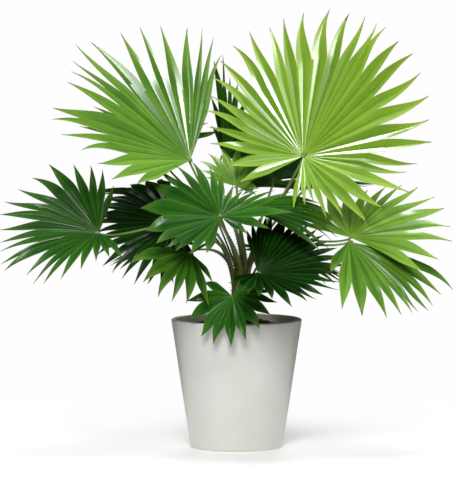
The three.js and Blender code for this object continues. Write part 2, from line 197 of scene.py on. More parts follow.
def splitUp(vector):
    parts = node(vector.tree, "ShaderNodeSeparateXYZ", Vector=vector)
    return parts, parts["Y"], parts["Z"]


def combined(tree, **values):
    return node(tree, "ShaderNodeCombineXYZ", **values)


def named(tree, name, kind="FLOAT"):
    return node(tree, "GeometryNodeInputNamedAttribute", {"data_type": kind}, Name=name)


def keep(geometry, name, value, kind="FLOAT", domain="FACE"):
    settings = {"data_type": kind, "domain": domain}
    return node(geometry.tree, "GeometryNodeStoreNamedAttribute", settings, Geometry=geometry, Name=name,
                Value=value)


def chance(seed, low, high):  # a random number or vector for each instance
    kind = "FLOAT_VECTOR" if isinstance(low, tuple) else "FLOAT"
    return node(seed.tree, "FunctionNodeRandomValue", {"data_type": kind}, Min=low, Max=high, Seed=seed)


def facing(vector):  # turns the upright axis towards it
    return node(vector.tree, "FunctionNodeAlignRotationToVector", {"axis": "Z"}, Vector=vector)


def planted(points, shape, turn, size):
    placed = node(points.tree, "GeometryNodeInstanceOnPoints", Points=points, Instance=shape, Rotation=turn,
                  Scale=size)
    return node(points.tree, "GeometryNodeRealizeInstances", Geometry=placed)


def crumpled(geometry, scale, amount):  # pushes the corners about
    spot = node(geometry.tree, "GeometryNodeInputPosition")
    push = node(geometry.tree, "ShaderNodeTexNoise", Vector=spot, Scale=scale, Detail=1)["Color"]
    return node(geometry.tree, "GeometryNodeSetPosition", Geometry=geometry,
                Offset=(push - (0.5, 0.5, 0.5)) * amount)


def newTree(name, **inputs):  # the names of its inputs, by their kind
    tree = bpy.data.node_groups.new(name, "GeometryNodeTree")
    for kind, labels in {"Geometry": "Geometry", **inputs}.items():
        for label in labels.split():
            tree.interface.new_socket(label, in_out="INPUT", socket_type=f"NodeSocket{kind}")
    tree.interface.new_socket("Geometry", in_out="OUTPUT", socket_type="NodeSocketGeometry")
    return tree, node(tree, "NodeGroupInput")


def endTree(geometry, material, selection=True):
    dressed = node(geometry.tree, "GeometryNodeSetMaterial", Geometry=geometry, Material=material,
                   Selection=selection)
    plug(dressed, geometry.tree.nodes.new("NodeGroupOutput").inputs[0])


def growOn(thing, tree, values):  # sets the tree on a piece
    grown = thing.modifiers.new(tree.name, "NODES")
    grown.node_group = tree
    for socket in tree.interface.items_tree:
        if socket.in_out == "INPUT" and socket.name in values:
            grown[socket.identifier] = values[socket.name]


def growOnCopy(name, base, tree, values, slotName, sharpAt):
    thing = addThing(name, base.data.copy())
    thing.data.materials.clear()
    growOn(thing, tree, values)
    bake(thing, sharpAt)
    fit(thing, slotName)


def newFinish(name, roughness):  # the shader's inputs stand for it
    material = bpy.data.materials.new(name)
    material.use_nodes = True
    inputs = material.node_tree.nodes["Principled BSDF"].inputs
    inputs["Roughness"].default_value = roughness
    return material, material.node_tree, inputs


def onPiece(tree):
    return node(tree, "ShaderNodeTexCoord")["Object"]


def ownMap(tree):
    return node(tree, "ShaderNodeUVMap", {"uv_map": "uvMap"})


def mixColour(amount, first, second):  # of wires or "#rrggbb"
    first, second = (linear(colour) if isinstance(colour, str) else colour for colour in (first, second))
    return node(amount.tree, "ShaderNodeMix", {"data_type": "RGBA"}, Factor=amount, A=first, B=second)


def spots(place, scale, detail=3):
    return node(place.tree, "ShaderNodeTexNoise", Vector=place, Scale=scale, Detail=detail, Roughness=0.55)


def stretch(place, amounts):
    return node(place.tree, "ShaderNodeMapping", Vector=place, Scale=amounts)


def span(value, low, high, start=0, end=1):
    return node(value.tree, "ShaderNodeMapRange", Value=value, From_Min=low, From_Max=high, To_Min=start,
                To_Max=end)


def relief(inputs, height, strength, depth):
    bump = node(height.tree, "ShaderNodeBump", Strength=strength, Distance=depth, Height=height)
    plug(bump, inputs["Normal"])


leafFinish = {
    "veins": 46,  # fine lines across a leaflet
    "veinDepth": 0.0004,
    "patches": 9,  # to the metre
    "roughness": 0.75, "coatRoughness": 0.23,
    "valley": 0.17,  # half width of the painted shade in the fold along a rib, of a leaflet's width
    "valleyDepth": 0.75,
    "tip": ("#5a4420", "#3f2c16"),
}

leafTones = {  # shade, light, painted shade in the folds, the yellowing of edges with painted highlight on the raised margins, gloss, and the wax over it
    "bright": ("#6f9c20", "#97c438", "#4c7e12", "#b4cc4a", 0.08, 0.8),
    "fresh": ("#5d8e2a", "#8aba40", "#3e741a", "#a8c44c", 0.07, 0.5),
    "grass": ("#457620", "#7aac3a", "#2a5c12", "#8eb040", 0.07, 0.6),
    "soft": ("#4a7c22", "#74a638", "#2a5c12", "#8eb040", 0.03, 0.1),
    # green, middle, deep and dark are darker for the fans low in, inside and behind the crown: partly their
    # own darker green, partly painted shade
    "green": ("#224e0c", "#42781e", "#103a08", "#80a03c", 0.03, 0.16),
    "middle": ("#194a0a", "#35721a", "#0c3606", "#6a9432", 0.03, 0.16),
    "deep": ("#184408", "#306e18", "#0c2e06", "#648c2e", 0.03, 0.16),
    "dark": ("#082a06", "#15480c", "#061a04", "#587432", 0.01, 0.05),
}


def leafMaterial(tone):  # u runs across a leaflet, v from the hub to its tip
    shade, light, valley, yellowAndRidgeHighlight, gloss, wax = leafTones[tone]
    rough = leafFinish["roughness"]
    material, tree, inputs = newFinish(f"leaf {tone}", rough)
    uv = ownMap(tree)
    across, along, _ = splitUp(uv)
    own = node(tree, "ShaderNodeAttribute", {"attribute_name": "tone"})["Fac"]
    patches = spots(onPiece(tree), leafFinish["patches"])
    lines = spots(stretch(uv, (leafFinish["veins"], 1.2, 1)), 1, 2)
    amount = patches * 0.9 + lines * 0.5 + own * 0.28 - 0.3
    green = mixColour(span(amount, 0.1, 0.9), shade, light)
    side = absolute(across - 0.5)
    # painted shade: the fold along each rib is darkened, most where the leaflets are joined
    fold = span(side, 0, leafFinish["valley"], leafFinish["valleyDepth"], 0)
    fold = fold * span(along, 0.3, 0.75, 1, 0.35)
    ends = most(span(along, 0.6, 1, 0, 0.55), span(along, 0, 0.1, 0.3, 0))
    # the raised margins lighten towards the yellow: partly their own yellowing, partly painted highlight on
    # the ridges
    yellowingAndRidgeHighlight = most(span(side, 0.38, 0.5, 0, 0.3), ends)
    plug(mixColour(yellowingAndRidgeHighlight, mixColour(fold, green, valley), yellowAndRidgeHighlight), inputs["Base Color"])
    plug(span(patches, 0.3, 0.7, rough - 0.07, rough + 0.08), inputs["Roughness"])
    inputs["Specular IOR Level"].default_value = gloss
    inputs["Coat Weight"].default_value = wax
    inputs["Coat Roughness"].default_value = leafFinish["coatRoughness"]
    relief(inputs, lines * span(along, 0.35, 0.6, 1, 0), 0.2, leafFinish["veinDepth"])  # smooth free ends
    return material


def tipMaterial():
    material, tree, inputs = newFinish("dry leaf tip", 0.7)
    place = onPiece(tree)
    plug(mixColour(span(spots(place, 120), 0.35, 0.65), *leafFinish["tip"]), inputs["Base Color"])
    relief(inputs, spots(place, 900), 0.4, 0.0003)
    return material


stalkFinish = {
    "fresh": ("#46701f", "#7d9838"),
    "old": ("#39380f", "#6a681e"),
    "grooves": 34,  # fine ridges round a stalk
    "roughness": (0.34, 0.56),
}


def stalkMaterial():  # v runs from the stem, 0, to the blade, 1
    material, tree, inputs = newFinish("green stalk", 0.42)
    uv = ownMap(tree)
    patches = spots(onPiece(tree), 26)
    lines = spots(stretch(uv, (stalkFinish["grooves"], 3, 1)), 1)
    fresh = mixColour(span(lines, 0.35, 0.7), *stalkFinish["fresh"])
    old = mixColour(span(lines, 0.3, 0.65), *stalkFinish["old"])
    young = patches * 0.22 + splitUp(uv)[1] - 0.1
    plug(mixColour(span(young, 0.08, 0.36), old, fresh), inputs["Base Color"])
    plug(span(patches, 0.3, 0.7, *stalkFinish["roughness"]), inputs["Roughness"])
    relief(inputs, lines, 0.6, 0.0006)
    return material


def plainMaterial(name, first, second, scale, roughness, depth, detail=4):
    material, tree, inputs = newFinish(name, roughness)
    grain = spots(onPiece(tree), scale, detail)
    plug(mixColour(span(grain, 0.34, 0.66), first, second), inputs["Base Color"])
    plug(span(grain, 0.3, 0.7, roughness - 0.07, roughness + 0.07), inputs["Roughness"])
    relief(inputs, grain, 0.7, depth)
    return material


barkFinish = {"dark": "#201f09", "brown": "#504e18", "pale": "#7d7c30", "across": 540, "along": 60}


def barkMaterial():  # long upright fibres, dark in between
    material, tree, inputs = newFinish("leaf base fibre", 0.78)
    place = onPiece(tree)
    across = barkFinish["across"]
    fibres = spots(stretch(place, (across, across, barkFinish["along"])), 1, 4)
    brown = mixColour(span(fibres, 0.36, 0.62), barkFinish["dark"], barkFinish["brown"])
    faded = span(spots(place, 38), 0.42, 0.7, 0, 0.8)
    plug(mixColour(faded, brown, barkFinish["pale"]), inputs["Base Color"])
    relief(inputs, fibres, 0.9, 0.0012)
    return material


potFinish = {"glaze": "#e6e6e0", "shade": "#dad9d1", "specks": "#b9b5a6", "roughness": 0.34, "coat": 0.3,
             "coatRoughness": 0.18}


def glazeMaterial():
    rough = potFinish["roughness"]
    material, tree, inputs = newFinish("white glaze", rough)
    place = onPiece(tree)
    clouds = spots(place, 5, 2)
    colour = mixColour(span(clouds, 0.35, 0.7), potFinish["glaze"], potFinish["shade"])
    specks = span(spots(place, 420, 1), 0.72, 0.78, 0, 0.12)
    plug(mixColour(specks, colour, potFinish["specks"]), inputs["Base Color"])
    plug(span(clouds, 0.3, 0.7, rough - 0.04, rough + 0.08), inputs["Roughness"])
    inputs["Coat Weight"].default_value = potFinish["coat"]
    inputs["Coat Roughness"].default_value = potFinish["coatRoughness"]
    relief(inputs, spots(place, 70, 1) * 0.6 + spots(place, 260, 1), 0.12, 0.0006)
    return material


leafMaterials = {tone: leafMaterial(tone) for tone in leafTones}
dryTip = tipMaterial()
greenStalk = stalkMaterial()
bark = barkMaterial()
thorn = plainMaterial("thorn", "#2a1a0c", "#5b3d1c", 300, 0.45, 0.0003)
crestSkin = plainMaterial("pale crest", "#4f7426", "#86a24a", 180, 0.5, 0.0003)
fibre = plainMaterial("loose fibre", "#2c2b0e", "#6e6a2a", 160, 0.8, 0.0004)
earth = plainMaterial("potting earth", "#120c08", "#33231a", 90, 0.93, 0.003, 6)
crumb = plainMaterial("earth crumb", "#1a110b", "#4a3222", 240, 0.9, 0.001)
chipped = plainMaterial("bark chip", "#3c2417", "#7d5638", 180, 0.82, 0.0012)
glaze = glazeMaterial()
print("finishes made")


pot = {
    "height": 0.286,
    "rim": 0.145,  # outer radius at the top
    "foot": 0.104,  # outer radius where the wall meets the foot
    "footRound": 0.009, "wall": 0.01, "floor": 0.014,
    "lip": 0.0034,  # rounding of the rim
    "raised": 0.0012,  # middle of the underside, over the floor
    "sides": 160,
}
potSlope = (pot["rim"] - pot["foot"]) / (pot["height"] - pot["footRound"])


def turned(name, profile, material, sharpAt):  # a profile turned about the upright axis
    points, rows, faces = [], [], []
    sides = pot["sides"]
    for radius, height in profile:
        ring = around(sides) if radius else [(0, 0)]
        rows.append([len(points) + s % len(ring) for s in range(sides)])
        points += [(radius * x, radius * y, height) for x, y in ring]
    for low, high in zip(rows, rows[1:]):
        for s in range(sides):
            after = (s + 1) % sides
            corners = (low[s], low[after], high[after], high[s])
            faces.append(list(dict.fromkeys(corners)))  # on the axis two of them are one
    return makeMesh(name, points, faces, material, sharpAt)


def arc(middle, radius, start, end, steps):
    turns = [radians(blend(start, end, i / steps)) for i in range(steps + 1)]
    return [(middle[0] + radius * cos(t), middle[1] + radius * sin(t)) for t in turns]


def potWallRadius(height):  # inside
    return pot["rim"] - potSlope * (pot["height"] - height) - pot["wall"]


def makePot():
    lip, foot, wall, bottom = pot["lip"], pot["footRound"], pot["wall"], pot["floor"]
    rimHeight = pot["height"] - lip
    profile = [(0, pot["raised"]), (pot["foot"] * 0.7, pot["raised"]), (pot["foot"] - foot * 1.5, 0.0004)]
    profile += arc((pot["foot"] - foot, foot), foot, -90, -8, 8)
    for share in (0.2, 0.4, 0.6, 0.8):
        height = blend(foot, rimHeight, share)
        profile.append((potWallRadius(height) + wall, height))
    profile += arc((pot["rim"] - lip, rimHeight), lip, -8, 90, 7)
    profile += arc((pot["rim"] - wall + lip, rimHeight), lip, 90, 172, 7)
    for height in (0.24, 0.19, 0.14, 0.09, 0.04, bottom + 0.006):
        profile.append((potWallRadius(height), height))
    profile += [(potWallRadius(bottom) - 0.006, bottom), (0, bottom)]
    fit(turned("pot", profile, glaze, 50), "pot", "pot")


soil = {
    "crown": 0.281,  # height in the middle
    "crownRadius": 0.044,
    "edge": 0.259,  # height along the wall
    "rings": 26, "sides": 120,
    "lumps": 0.0042, "lumpScale": 55,
    "sunk": 0.002,  # how far its lumps lie below the packed soil
    "gaps": (0.0004, 0.0006),  # to the pot, at its edge and down the wall
    "strewn": {  # density is on each square metre, over the height lowest
        "soil_crumbs": dict(density=9500.0, size=0.0034, flat=0.7, lowest=0.256, seed=11, finish=crumb),
        "bark_chips": dict(density=1900.0, size=0.0062, flat=0.3, lowest=0.256, seed=12, finish=chipped),
    },
}


def soilPoint(radius, x, y):
    x, y = radius * x, radius * y
    wall = potWallRadius(soil["edge"])
    share = min(max((wall - hypot(x, y)) / (wall - soil["crownRadius"]), 0), 1)
    level = blend(soil["edge"], soil["crown"], sin(share * pi / 2))
    lumps = noise.fractal(Vector((x, y, 0.3)) * soil["lumpScale"], 0.7, 2.1, 5) * soil["lumps"]
    return x, y, level - soil["sunk"] + lumps * smooth(0, 0.15, share)


def makeSoil():
    sides, rings, (edgeGap, wallGap) = soil["sides"], soil["rings"], soil["gaps"]
    edge = potWallRadius(soil["edge"]) - edgeGap
    points = [soilPoint(0, 0, 0)]
    for r in range(1, rings + 1):
        points += [soilPoint(edge * r / rings, x, y) for x, y in around(sides)]
    for depth in (0.15, 0.4, 0.75, 1):  # down the inside of the wall
        height = blend(soil["edge"], pot["floor"] + 0.001, depth)
        inside = potWallRadius(height) - wallGap
        points += [(inside * x, inside * y, height) for x, y in around(sides)]
        rings += 1
    faces = []
    for s in range(sides):
        faces.append((0, 1 + s, 1 + (s + 1) % sides))
        for r in range(rings - 1):
            a, b = 1 + r * sides + s, 1 + r * sides + (s + 1) % sides
            faces.append((a, a + sides, b + sides, b))
    faces.append([1 + (rings - 1) * sides + s for s in reversed(range(sides))])
    made = makeMesh("soil", points, faces, earth, 60)
    fit(made, "soil", "soil")
    return made


def scatterTree():  # lumps strewn over a surface
    tree, given = newTree("strewn lumps", Float="density size flat lowest", Int="seed",
                          Material="finish")
    height = splitUp(node(tree, "GeometryNodeInputPosition"))[2]
    strewn = node(tree, "GeometryNodeDistributePointsOnFaces", Mesh=given, Density=given["density"],
                  Selection=reckon("GREATER_THAN", height, given["lowest"]), Seed=given["seed"])
    lump = node(tree, "GeometryNodeMeshIcoSphere", Radius=1, Subdivisions=1)
    turn = chance(given["seed"], (0, 0, 0), (0.5, 0.5, 6.28))
    size = chance(given["seed"], 0.3, 1) * given["size"]
    sizes = combined(tree, X=size, Y=size * 0.75, Z=size * given["flat"])
    endTree(crumpled(planted(strewn, lump, turn, sizes), 190, given["size"] * 0.9), given["finish"])
    return tree


makePot()
soilPiece = makeSoil()
scatter = scatterTree()
for name, strewn in soil["strewn"].items():
    growOnCopy(name, soilPiece, scatter, strewn, "soil", 40)
print("pot and soil made")


fan = {
    "halfFan": 148,  # degrees from the middle leaflet to the last one
    "cadThick": 0.0112,  # of the reach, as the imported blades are
    "thick": 0.0007,  # metres, of the blades made here
    "pleat": 0.34,  # height of a fold over half a leaflet's width
    "rowsJoined": 0.53,  # share of the faces along that lie before the split
    "widest": 0.6,  # of its length, where an early split leaflet is widest
    "bow": 0.035,  # radians, how far a free part may curve
    "lengthWaver": 0.045,
    "inside": 0.997,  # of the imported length, so that no tip stands out
    "angleWaver": 0.012,
    "shortPower": 2.2,  # how late the leaflets shorten towards the fan's ends
    "bendPower": 1.6,  # how late along its length a leaflet bends
    "bendSteps": 8,
    "across": 6,  # faces across a leaflet and along it
    "along": 25,
    "sag": 0.014,  # of its length, how far a leaflet's free end may hang
    "twist": 0.5,  # of its half width, how far its free end may turn
    "dryFrom": 0.975,  # of its length, where the tip is dry
    "dryMore": 0.045,  # how much further back on some leaflets
    "weld": 0.00004,  # metres, between edges that are joined
    "sharpAt": 38,
}

# hub is the middle of a fan. aim is its axis' heading and rise, and its roll about that axis.
# A fan has each leaflet's angle, and its length in percent of the reach, or so many leaflets
# between start and to, short by so much at the ends. split is where they come free, from the
# first to the last, and pale lightens these two. The stalk leaves the stem at the height
# seat, towards side, climbing, and centre is its place between the stem's core and skin.
usual = dict(dish=6, fold=4, short=0.35, start=-148, to=148, split=(0.62, 0.62), pale=(0, 0), centre=0.62,
             arch=0.36, follow=0.45)
fans = {
    "upper_right": dict(hub=(148, 20, 646), aim=(17, 48, -45), reach=338, tone="bright", angles=(-142.9,
        -133.8, -124.7, -119.1, -109.3, -100.6, -89.4, -77.8, -69.6, -63.8, -55.9, -46.2, -34.9, -25.6,
        -18, -10, -2.5, 2.4, 8.1, 16.1, 25.2, 36.5, 45.6, 52.5, 60.9, 69, 77.3, 85, 92.8, 101.4, 109.2,
        119.4, 137.4, 157.8), lengths=(45, 43, 42, 60, 65, 82, 80, 89, 81, 87, 96, 94, 98, 99, 102, 101,
        102, 101, 101, 100, 100, 99, 97, 94, 97, 95, 91, 87, 78, 77, 68, 63, 51, 47), dish=21, fold=-11,
        droop=0.02, split=(0.55, 0.5, 0.5, 0.6, 0.64, 0.7, 0.68, 0.6, 0.6, 0.6, 0.6), seat=394, side=-4,
        centre=0.75, climb=72),
    "upper_left": dict(hub=(-103, 40, 636), aim=(160, 46, 29), reach=358, tone="grass", pale=(-1.2, 2.6),
        angles=(-55, -49, -45, -39, -29, -21, -12, 0, 7, 16, 22, 29, 45, 52, 58, 65, 72, 82, 90),
        lengths=(83, 93, 96, 96, 96, 97, 96, 99, 102, 96, 94, 94, 104, 107, 103, 92, 85, 83, 66), dish=5,
        fold=11, droop=0.14, split=(0.44, 0.7), seat=394, side=186, centre=0.75, climb=72),
    "upper_back": dict(hub=(-30, 255, 636), aim=(103, 72, -57), reach=262, tone="deep", angles=(-86, -78,
        -69, -59, -46, -32, -16, -3, 13, 33, 54, 75), lengths=(93, 94, 93, 90, 85, 78, 73, 73, 88, 89, 70,
        56), dish=8, fold=3, droop=0.09, split=(0.6, 0.5), seat=394, side=92, centre=0.75, climb=76),
    "far_left": dict(hub=(-303, -80, 482), aim=(185, -17, 38), reach=233, tone="deep", pale=(0, 1.2),
        angles=(-127, -112, -102, -90, -77, -62, -51, -41, -31, -20, -11, -5, 3, 13, 29, 40, 47, 57, 69,
        81, 92, 101), lengths=(50, 65, 71, 76, 89, 88, 91, 97, 97, 95, 95, 97, 100, 103, 95, 105, 104, 95,
        82, 72, 73, 84), dish=15, fold=13, droop=0.44, split=(0.6, 0.6), seat=334, side=200, climb=84,
        arch=0.8),
    "front_middle": dict(hub=(-35, -143, 522), aim=(118, 32, 21), reach=183, tone="middle", angles=(-165,
        -141.5, -113.6, -90.2, -79.9, -70.2, -54.8, -39.9, -26.3, -14.5, -2.6, 8.7, 16.6, 29.1, 52.3, 76.6,
        94.5, 104, 114.4, 127.6, 142.6), lengths=(52, 67, 89, 93, 79, 62, 53, 56, 75, 86, 101, 106, 112,
        106, 100, 91, 88, 83, 80, 76, 71), dish=8, fold=-7, droop=0.04, split=(0.6, 0.42, 0.5, 0.76, 0.7),
        seat=352, side=276, climb=66),
    "low_left": dict(hub=(-102, -110, 442), aim=(-128, -26, 52), reach=148, tone="green", pale=(0.8, 0.8),
        angles=(-34, -15, 4, 17, 33, 59, 80), lengths=(108, 106, 107, 100, 92, 93, 59), dish=3, fold=0,
        droop=0.44, split=(0.6, 0.5), seat=322, side=230, climb=84, arch=1.1, follow=2.5),
    "mid_left": dict(hub=(-136, 6, 494), aim=(180, -4, 40), reach=200, tone="dark", leaflets=20, start=-88,
        to=112, dish=5, fold=-4, droop=0.4, split=(0.85, 0.75, 0.64, 0.62, 0.62), seat=358, side=170,
        climb=82, arch=0.7),
    "low_right": dict(hub=(46, -125, 398), aim=(-12, -24, -30), reach=200, tone="dark", angles=(-98, -90,
        -82, -73, -63, -52.3, -37.8, -29.2, -19.1, -5.5, 4.2, 12.8, 23, 32.1, 40.5, 48.7, 56.9, 65.8, 74.6,
        82.2, 89.7, 97.4, 104.3, 110.7, 117.4, 125.7, 135.2), lengths=(92, 98, 98, 95, 92, 111, 98, 97, 93,
        100, 98, 98, 98, 96, 93, 90, 88, 87, 85, 82, 79, 76, 75, 73, 69, 62, 53), dish=21, droop=0.05,
        split=(0.74, 0.7, 0.66, 0.74, 0.74, 0.74), seat=326, climb=40),
    "far_right": dict(hub=(246, -100, 464), aim=(17, -6, -49), reach=242, tone="soft", angles=(-124, -105,
        -92, -75, -64, -55, -51, -45, -39, -29, -20), lengths=(49, 84, 87, 89, 90, 92, 95, 99, 97, 97,
        105), dish=9, fold=-1, droop=0.46, split=(0.62, 0.7), seat=340, side=12, climb=76, arch=0.6),
    "mid_right": dict(hub=(250, -66, 471), aim=(-8, 7, -35), reach=186, tone="fresh", pale=(1, 0),
        angles=(-36.2, -22.4, -2.8, 9.4, 25.1, 37.5, 50.4, 58.5, 67.2, 78.2, 92.1, 109.3, 128.1, 136.9,
        145.9), lengths=(112, 116, 122, 120, 122, 123, 122, 116, 105, 93, 86, 90, 122, 130, 88), dish=-2,
        droop=0.16, split=(0.6, 0.6, 0.55, 0.55, 0.6, 0.45), seat=364, side=-42, climb=78, arch=0.62),
    "centre_right": dict(hub=(12, -77, 536), aim=(-33, -16, -17), reach=219, tone="deep", pale=(-0.6, 1.2),
        leaflets=9, start=0.4, to=76, dish=1, fold=2, droop=0.58, seat=382, side=-60, climb=72),
    "front_low": dict(hub=(-10, -138, 348), aim=(-99, -66, -9), reach=112, tone="deep", pale=(1.5, 1.5),
        angles=(-121.2, -96, -70, -41.9, -20.9, 2, 23.9, 47, 72.1, 91, 102.2, 113.9, 130.5, 148.2),
        lengths=(68, 95, 98, 101, 104, 104, 98, 93, 92, 97, 86, 72, 54, 38), dish=1, droop=0.58,
        split=(0.6, 0.6, 0.62, 0.7, 0.8), seat=302, climb=40),
    "inner_small": dict(hub=(0, 60, 577), aim=(78, 59, 7), reach=100, tone="fresh", angles=(-121, -107,
        -84, -56, -28, -1, 21, 39, 53, 67, 79), lengths=(81, 79, 83, 87, 90, 93, 97, 100, 100, 90, 76),
        dish=16, fold=13, droop=0.3, seat=394, centre=0.05, climb=88),
    "inner_right": dict(hub=(84, 96, 588), aim=(60, 34, 0), reach=124, tone="dark", leaflets=20, start=-92,
        droop=0.3, seat=394, side=38, centre=0.75, climb=72),
    "back_right": dict(hub=(150, 205, 560), aim=(62, 4, 0), reach=170, tone="green", leaflets=18,
        start=-84, to=124, droop=0.35, short=0.36, seat=346, side=72, climb=70),
    "back_left": dict(hub=(-140, 184, 530), aim=(135, 10, 0), reach=204, tone="dark", leaflets=16,
        start=-108, to=62, droop=0.4, short=0.36, seat=350, side=146, climb=80, arch=0.6),
    "back_low_left": dict(hub=(-150, 140, 432), aim=(122, -16, 8), reach=150, tone="dark", leaflets=18,
        start=-124, to=124, droop=0.45, short=0.34, seat=322, side=104, climb=72, arch=0.8),
    "back_low_right": dict(hub=(108, 124, 406), aim=(52, -22, -6), reach=152, tone="dark", leaflets=18,
        start=-130, to=130, droop=0.45, short=0.34, seat=316, climb=46),
    "rear_right": dict(hub=(150, 190, 632), aim=(62, 45, -10), reach=175, tone="green", leaflets=18,
        start=-108, to=108, dish=8, fold=2, droop=0.3, seat=366, side=60, climb=74),
    "rear_left": dict(hub=(-170, 160, 640), aim=(140, 38, 10), reach=205, tone="green", leaflets=16,
        start=-84, to=60, dish=8, fold=2, droop=0.3, seat=370, side=122, climb=80, arch=0.5),
}

slots = {"bright": "frond_bright", "deep": "frond_dark", "dark": "frond_dark"}  # the rest are green


def completed(row):  # in metres and radians, with the fan's frame and all its leaflets
    leaf = {**usual, **row}
    heading, rise, roll = leaf["aim"]
    axis, upright = direction(heading, rise), direction(heading, rise + 90)
    face = upright * cos(radians(roll)) + upright.cross(axis) * sin(radians(roll))
    leaf["frame"] = axis, face, face.cross(axis), Vector(leaf["hub"]) * mm
    leaf["seed"], leaf["reach"] = row["reach"], row["reach"] * mm
    leaf["dish"], leaf["fold"] = radians(leaf["dish"]), radians(leaf["fold"])
    if "angles" in leaf:
        leaf["lengths"] = [length / 100 for length in leaf["lengths"]]
    else:
        places = [(i + 0.5) / leaf["leaflets"] for i in range(leaf["leaflets"])]
        leaf["angles"] = [blend(leaf["start"], leaf["to"], place) for place in places]
        leaf["lengths"] = [(1 - leaf["short"] * abs(angle / fan["halfFan"]) ** fan["shortPower"])
                           * (1 + fan["lengthWaver"] * waver(i, leaf["seed"]))
                           for i, angle in enumerate(leaf["angles"])]
    return leaf


fans = {name: completed(row) for name, row in fans.items()}


def fanAngle(leaf, place):
    angles = leaf["angles"]
    along = place * len(angles) - 0.5
    before = min(max(floor(along), 0), len(angles) - 2)
    return radians(blend(angles[before], angles[before + 1], along - before))


def splitShare(leaf, place):
    shares = leaf["split"]
    along = place * (len(shares) - 1)
    before = min(floor(along), len(shares) - 2)
    return blend(shares[before], shares[before + 1], along - before)


def fanPoint(leaf, angle, distance):  # a place on the fan's surface
    axis, face, side, place = leaf["frame"]
    lift = leaf["dish"] + leaf["fold"] * abs(sin(angle))
    flat = axis * cos(angle) + side * sin(angle)
    start = flat * cos(lift) + face * sin(lift)
    up = face * cos(lift) - flat * sin(lift)
    for i in range(fan["bendSteps"]):
        share = (i + 0.5) / fan["bendSteps"] * distance / leaf["reach"]
        step = start - Vector((0, 0, leaf["droop"] * share ** fan["bendPower"]))
        place = place + step.normalized() * distance / fan["bendSteps"]
    return place, up


def bladeTree():  # one folded leaflet on each point, laid out by the fan's rule
    tree, given = newTree("fan blade", Vector="axis face side hub", Material="leafSkin dryTip",
                          Float="reach dish fold droop pleat rowsJoined widest bendPower weld",
                          Int="bendSteps across along")
    grid = node(tree, "GeometryNodeMeshGrid", Size_X=1, Size_Y=1, Vertices_X=given["across"] + 1,
                Vertices_Y=given["along"] + 1)
    leaflets = planted(given, keep(grid, "uvMap", grid["UV Map"], "FLOAT2", "CORNER"), (0, 0, 0), (1, 1, 1))
    column, row, _ = splitUp(node(tree, "GeometryNodeInputPosition"))
    across, along = column * 2, row + 0.5
    aside, after = absolute(across), reckon("GREATER_THAN", across, 0)

    def own(name):  # a leaflet's own measure
        return named(tree, name)

    def edge(name):  # at the edge on this side of the leaflet
        return blend(own(name + "Before"), own(name + "After"), after)

    # distance from the hub: joined up to the split, then free
    length, split = own("length"), blend(own("splitMiddle"), edge("split"), aside)
    joined = least(along / given["rowsJoined"], 1)
    free = most((along - given["rowsJoined"]) / (1 - given["rowsJoined"]), 0)
    distance = (length - split) * free + split * joined
    # width: full at the split, or a little beyond an early one, then a long point
    left = 1 - free
    wide = least(distance, most(split, length * given["widest"])) * (left * (free * left + 1))
    middle = blend(own("angle"), own("looseAngle"), free) + free * left * own("bow") * 4
    opening = (edge("angle") - own("angle")) * aside
    sine, cosine = circle(middle + opening * (wide / most(distance, 0.00001)))
    # the fan's surface there, bent down under its weight step by step
    liftSine, liftCosine = circle(absolute(sine) * given["fold"] + given["dish"])
    flat = given["axis"] * cosine + given["side"] * sine
    start = flat * liftCosine + given["face"] * liftSine
    up = given["face"] * liftCosine - flat * liftSine
    repeatIn = tree.nodes.new("GeometryNodeRepeatInput")
    repeatOut = tree.nodes.new("GeometryNodeRepeatOutput")
    repeatIn.pair_with_output(repeatOut)
    repeatOut.repeat_items.new("VECTOR", "Place")
    plug(given["bendSteps"], repeatIn.inputs["Iterations"])
    plug(given["hub"], repeatIn.inputs["Place"])
    turns = Wire(repeatIn.outputs["Iteration"])
    share = (turns + 0.5) / given["bendSteps"] * (distance / given["reach"])
    down = combined(tree, Z=reckon("POWER", share, given["bendPower"]) * given["droop"])
    step = reckon("NORMALIZE", start - down) * (distance / given["bendSteps"])
    plug(turns["Place"] + step, repeatOut.inputs["Place"])
    # folds, and each free end's own turn and sag
    half = wide * reckon("SINE", edge("span"))
    raised = up * (half * (reckon("POWER", aside, 1.12) * given["pleat"] + across * free * own("twist")))
    hung = combined(tree, Z=free * free * own("sag") * length * -1)
    # tone and place along it are kept by face before the edges are welded
    kept = keep(keep(leaflets, "tone", own("leafletTone")), "reached", distance / length)
    shaped = node(tree, "GeometryNodeSetPosition", Geometry=kept,
                  Position=Wire(repeatOut.outputs["Place"]) + raised + hung)
    welded = node(tree, "GeometryNodeMergeByDistance", Geometry=shaped, Distance=given["weld"])
    leafy = node(tree, "GeometryNodeSetMaterial", Geometry=welded, Material=given["leafSkin"])
    endTree(leafy, given["dryTip"], reckon("GREATER_THAN", own("reached"), own("dryFrom")))
    return tree


